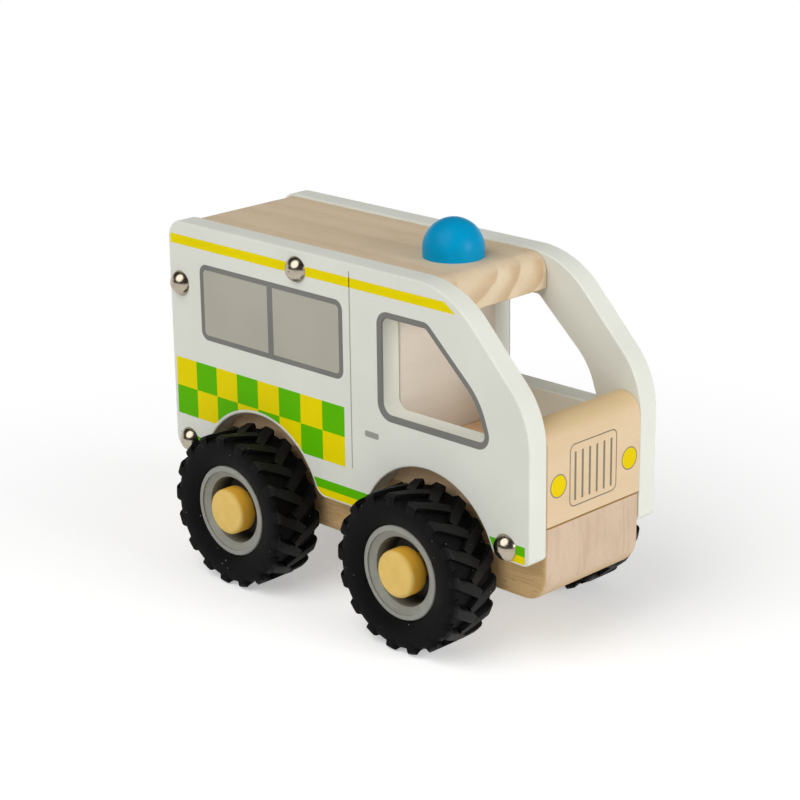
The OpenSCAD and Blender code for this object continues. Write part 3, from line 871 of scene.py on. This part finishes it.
def chassis_block():
    """A block in the place of the solid chassis, without its axle holes, which don't show."""
    low, high = (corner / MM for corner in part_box("chassis"))

    def shrunk(outline, width):
        """The outline drawn in by width, but not at its top, where the floor board lies on it."""
        result = []
        for before, after in zip(outline, grown(outline, -width)):
            at_top = before[1] > high.z - CHASSIS_SIDE_ROUND
            result.append((after[0], before[1] if at_top else after[1]))
        return result

    corners = rectangle((low.x, low.z), (high.x, high.z))
    outline = rounded(corners, [CHASSIS_END_ROUND] * 2 + [CHASSIS_TOP_ROUND] * 2)
    middle = (CHASSIS_SIDE_ROUND, CHASSIS_SIDE_ROUND)
    edge = arc(middle, CHASSIS_SIDE_ROUND, 180, 270, CHASSIS_SIDE_STEPS)
    verts = []
    for inset, down in edge:
        verts += [(x, low.y + inset, z) for x, z in shrunk(outline, down)]
    for inset, down in reversed(edge):
        verts += [(x, high.y - inset, z) for x, z in shrunk(outline, down)]
    faces = skinned(2 * len(edge), len(outline))
    piece = new_piece("chassis_block", verts, faces, BEECH, "body", SMOOTH_ANGLE)
    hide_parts("chassis")


for panel_side in SIDES:
    side_prints(panel_side)
nose_prints()
chassis_block()
for wheel_end, wheel_side in WHEELS:
    tyre(wheel_end, wheel_side)
    hub_cap(wheel_end, wheel_side)


# Studio: the camera's place in millimetres and its angles in degrees, and the rest in metres

CAMERA_AT = (401.54, -408.30, 242.44)
CAMERA_AZIMUTH = 44.64
CAMERA_ELEVATION = 18.48
CAMERA_ROLL = -0.732
CAMERA_LENS = 103.16
CAMERA_SENSOR = 36
CAMERA_NEAR = 0.01
SOFTBOX_AIM = (0, 0, 0.05)
FLOOR_REACH = 6.0
# The floor turns from its lit colour to plain white between these distances from the toy's middle
FLOOR_FADE = (0.07, 0.22)
FLOOR_WHITE_SHARE = 0.4
FLOOR_SHOWN = rgb(1.36, 1.36, 1.36)
FLOOR_COLOUR = rgb(0.9, 0.9, 0.9)
PURE_WHITE = rgb(1, 1, 1)
ROOM_LIGHT = 0.24
ROOM_MIRRORED = rgb(1, 0.9, 0.8)
ROOM_MIRRORED_LIGHT = 0.05
# The way to the backdrop, and where it ends at its sides and its top, as parts of a unit length
BACKDROP_WAY = (-0.70, 0.71, 0.0)
BACKDROP_SIDE = (-0.1, 0.3)
BACKDROP_TOP = (0.15, 0.4)


def camera():
    """The camera at the photo's viewing angle."""
    turn = math.radians(CAMERA_AZIMUTH)
    rise = math.radians(CAMERA_ELEVATION)
    roll = math.radians(CAMERA_ROLL)
    back = Vector((math.sin(turn) * math.cos(rise), -math.cos(turn) * math.cos(rise), math.sin(rise)))
    level = Vector((math.cos(turn), math.sin(turn), 0))
    upright = back.cross(level)
    right = level * math.cos(roll) + upright * math.sin(roll)
    up = back.cross(right)
    data = bpy.data.cameras.new("camera")
    data.lens = CAMERA_LENS
    data.sensor_width = CAMERA_SENSOR
    data.clip_start = CAMERA_NEAR
    made = bpy.data.objects.new("camera", data)
    bpy.context.scene.collection.objects.link(made)
    turned = Matrix((right, up, back)).transposed().to_4x4()
    made.matrix_world = Matrix.Translation(Vector(CAMERA_AT) * MM) @ turned
    bpy.context.scene.camera = made


def softbox(name, direction, distance, size, power):
    """A round softbox that faces the middle of the toy."""
    data = bpy.data.lights.new(name, "AREA")
    data.shape = "DISK"
    data.size = size
    data.energy = power
    made = bpy.data.objects.new(name, data)
    bpy.context.scene.collection.objects.link(made)
    towards = Vector(direction).normalized()
    made.location = Vector(SOFTBOX_AIM) + towards * distance
    made.rotation_euler = towards.to_track_quat("Z", "Y").to_euler()


def seen(tree):
    """One for rays from the camera and in reflections and glass, which see the white of the studio."""
    path = add(tree, "LightPath")
    total = math_node(tree, "ADD", path.outputs["Is Camera Ray"], path.outputs["Is Glossy Ray"])
    return math_node(tree, "ADD", total, path.outputs["Is Transmission Ray"], clamp=True)


def floor():
    """A pale floor that shows the toy's shadow near it and is plain white further away."""
    mesh = bpy.data.meshes.new("floor")
    corners = rectangle((-FLOOR_REACH, -FLOOR_REACH), (FLOOR_REACH, FLOOR_REACH))
    mesh.from_pydata([(x, y, 0) for x, y in corners], [], [(0, 1, 2, 3)])
    made = bpy.data.objects.new("floor", mesh)
    bpy.context.scene.collection.objects.link(made)
    material, tree = new_material("floor")
    distance = add(tree, "VectorMath", {0: add(tree, "TexCoord").outputs["Object"]}, operation="LENGTH")
    plainness = between(tree, distance.outputs["Value"], *FLOOR_FADE, out_low=FLOOR_WHITE_SHARE)
    lit = add(tree, "BsdfDiffuse", {"Color": FLOOR_SHOWN})
    white = add(tree, "Emission", {"Color": PURE_WHITE, "Strength": 1.0})
    shown = add(tree, "MixShader", {0: plainness, 1: lit.outputs[0], 2: white.outputs[0]})
    plain = add(tree, "BsdfDiffuse", {"Color": FLOOR_COLOUR})
    both = add(tree, "MixShader", {0: seen(tree), 1: plain.outputs[0], 2: shown.outputs[0]})
    add(tree, "OutputMaterial", {"Surface": both.outputs[0]})
    mesh.materials.append(material)


def world():
    """A dim room with a white backdrop behind the toy."""
    made = bpy.data.worlds.new("studio")
    made.use_nodes = True
    tree = made.node_tree
    tree.nodes.clear()
    room = add(tree, "Background", {"Color": PURE_WHITE, "Strength": ROOM_LIGHT})
    white = add(tree, "Background", {"Color": PURE_WHITE, "Strength": 1.0})
    way = add(tree, "TexCoord").outputs["Generated"]
    away = add(tree, "VectorMath", {0: way, 1: BACKDROP_WAY}, operation="DOT_PRODUCT")
    behind = between(tree, away.outputs["Value"], *BACKDROP_SIDE)
    path = add(tree, "LightPath")
    mirrored = math_node(tree, "ADD", path.outputs["Is Glossy Ray"], path.outputs["Is Transmission Ray"])
    height = add(tree, "SeparateXYZ", {"Vector": way}).outputs["Z"]
    below = between(tree, height, *BACKDROP_TOP, out_low=1.0, out_high=0.0)
    sweep = math_node(tree, "MULTIPLY", behind, below)
    backdrop = math_node(tree, "MULTIPLY", mirrored, sweep)
    white_share = math_node(tree, "ADD", path.outputs["Is Camera Ray"], backdrop, clamp=True)
    dark = add(tree, "Background", {"Color": ROOM_MIRRORED, "Strength": ROOM_MIRRORED_LIGHT})
    around = add(tree, "MixShader", {0: mirrored, 1: room.outputs[0], 2: dark.outputs[0]})
    both = add(tree, "MixShader", {0: white_share, 1: around.outputs[0], 2: white.outputs[0]})
    add(tree, "OutputWorld", {"Surface": both.outputs[0]})
    bpy.context.scene.world = made


camera()
floor()
world()
softbox("side_softbox", direction=(-0.05, -0.69, 0.72), distance=0.9, size=1.0, power=5.5)
softbox("front_softbox", direction=(0.95, 0.16, 0.26), distance=0.9, size=0.45, power=4.25)
bpy.context.scene.view_settings.view_transform = "Standard"
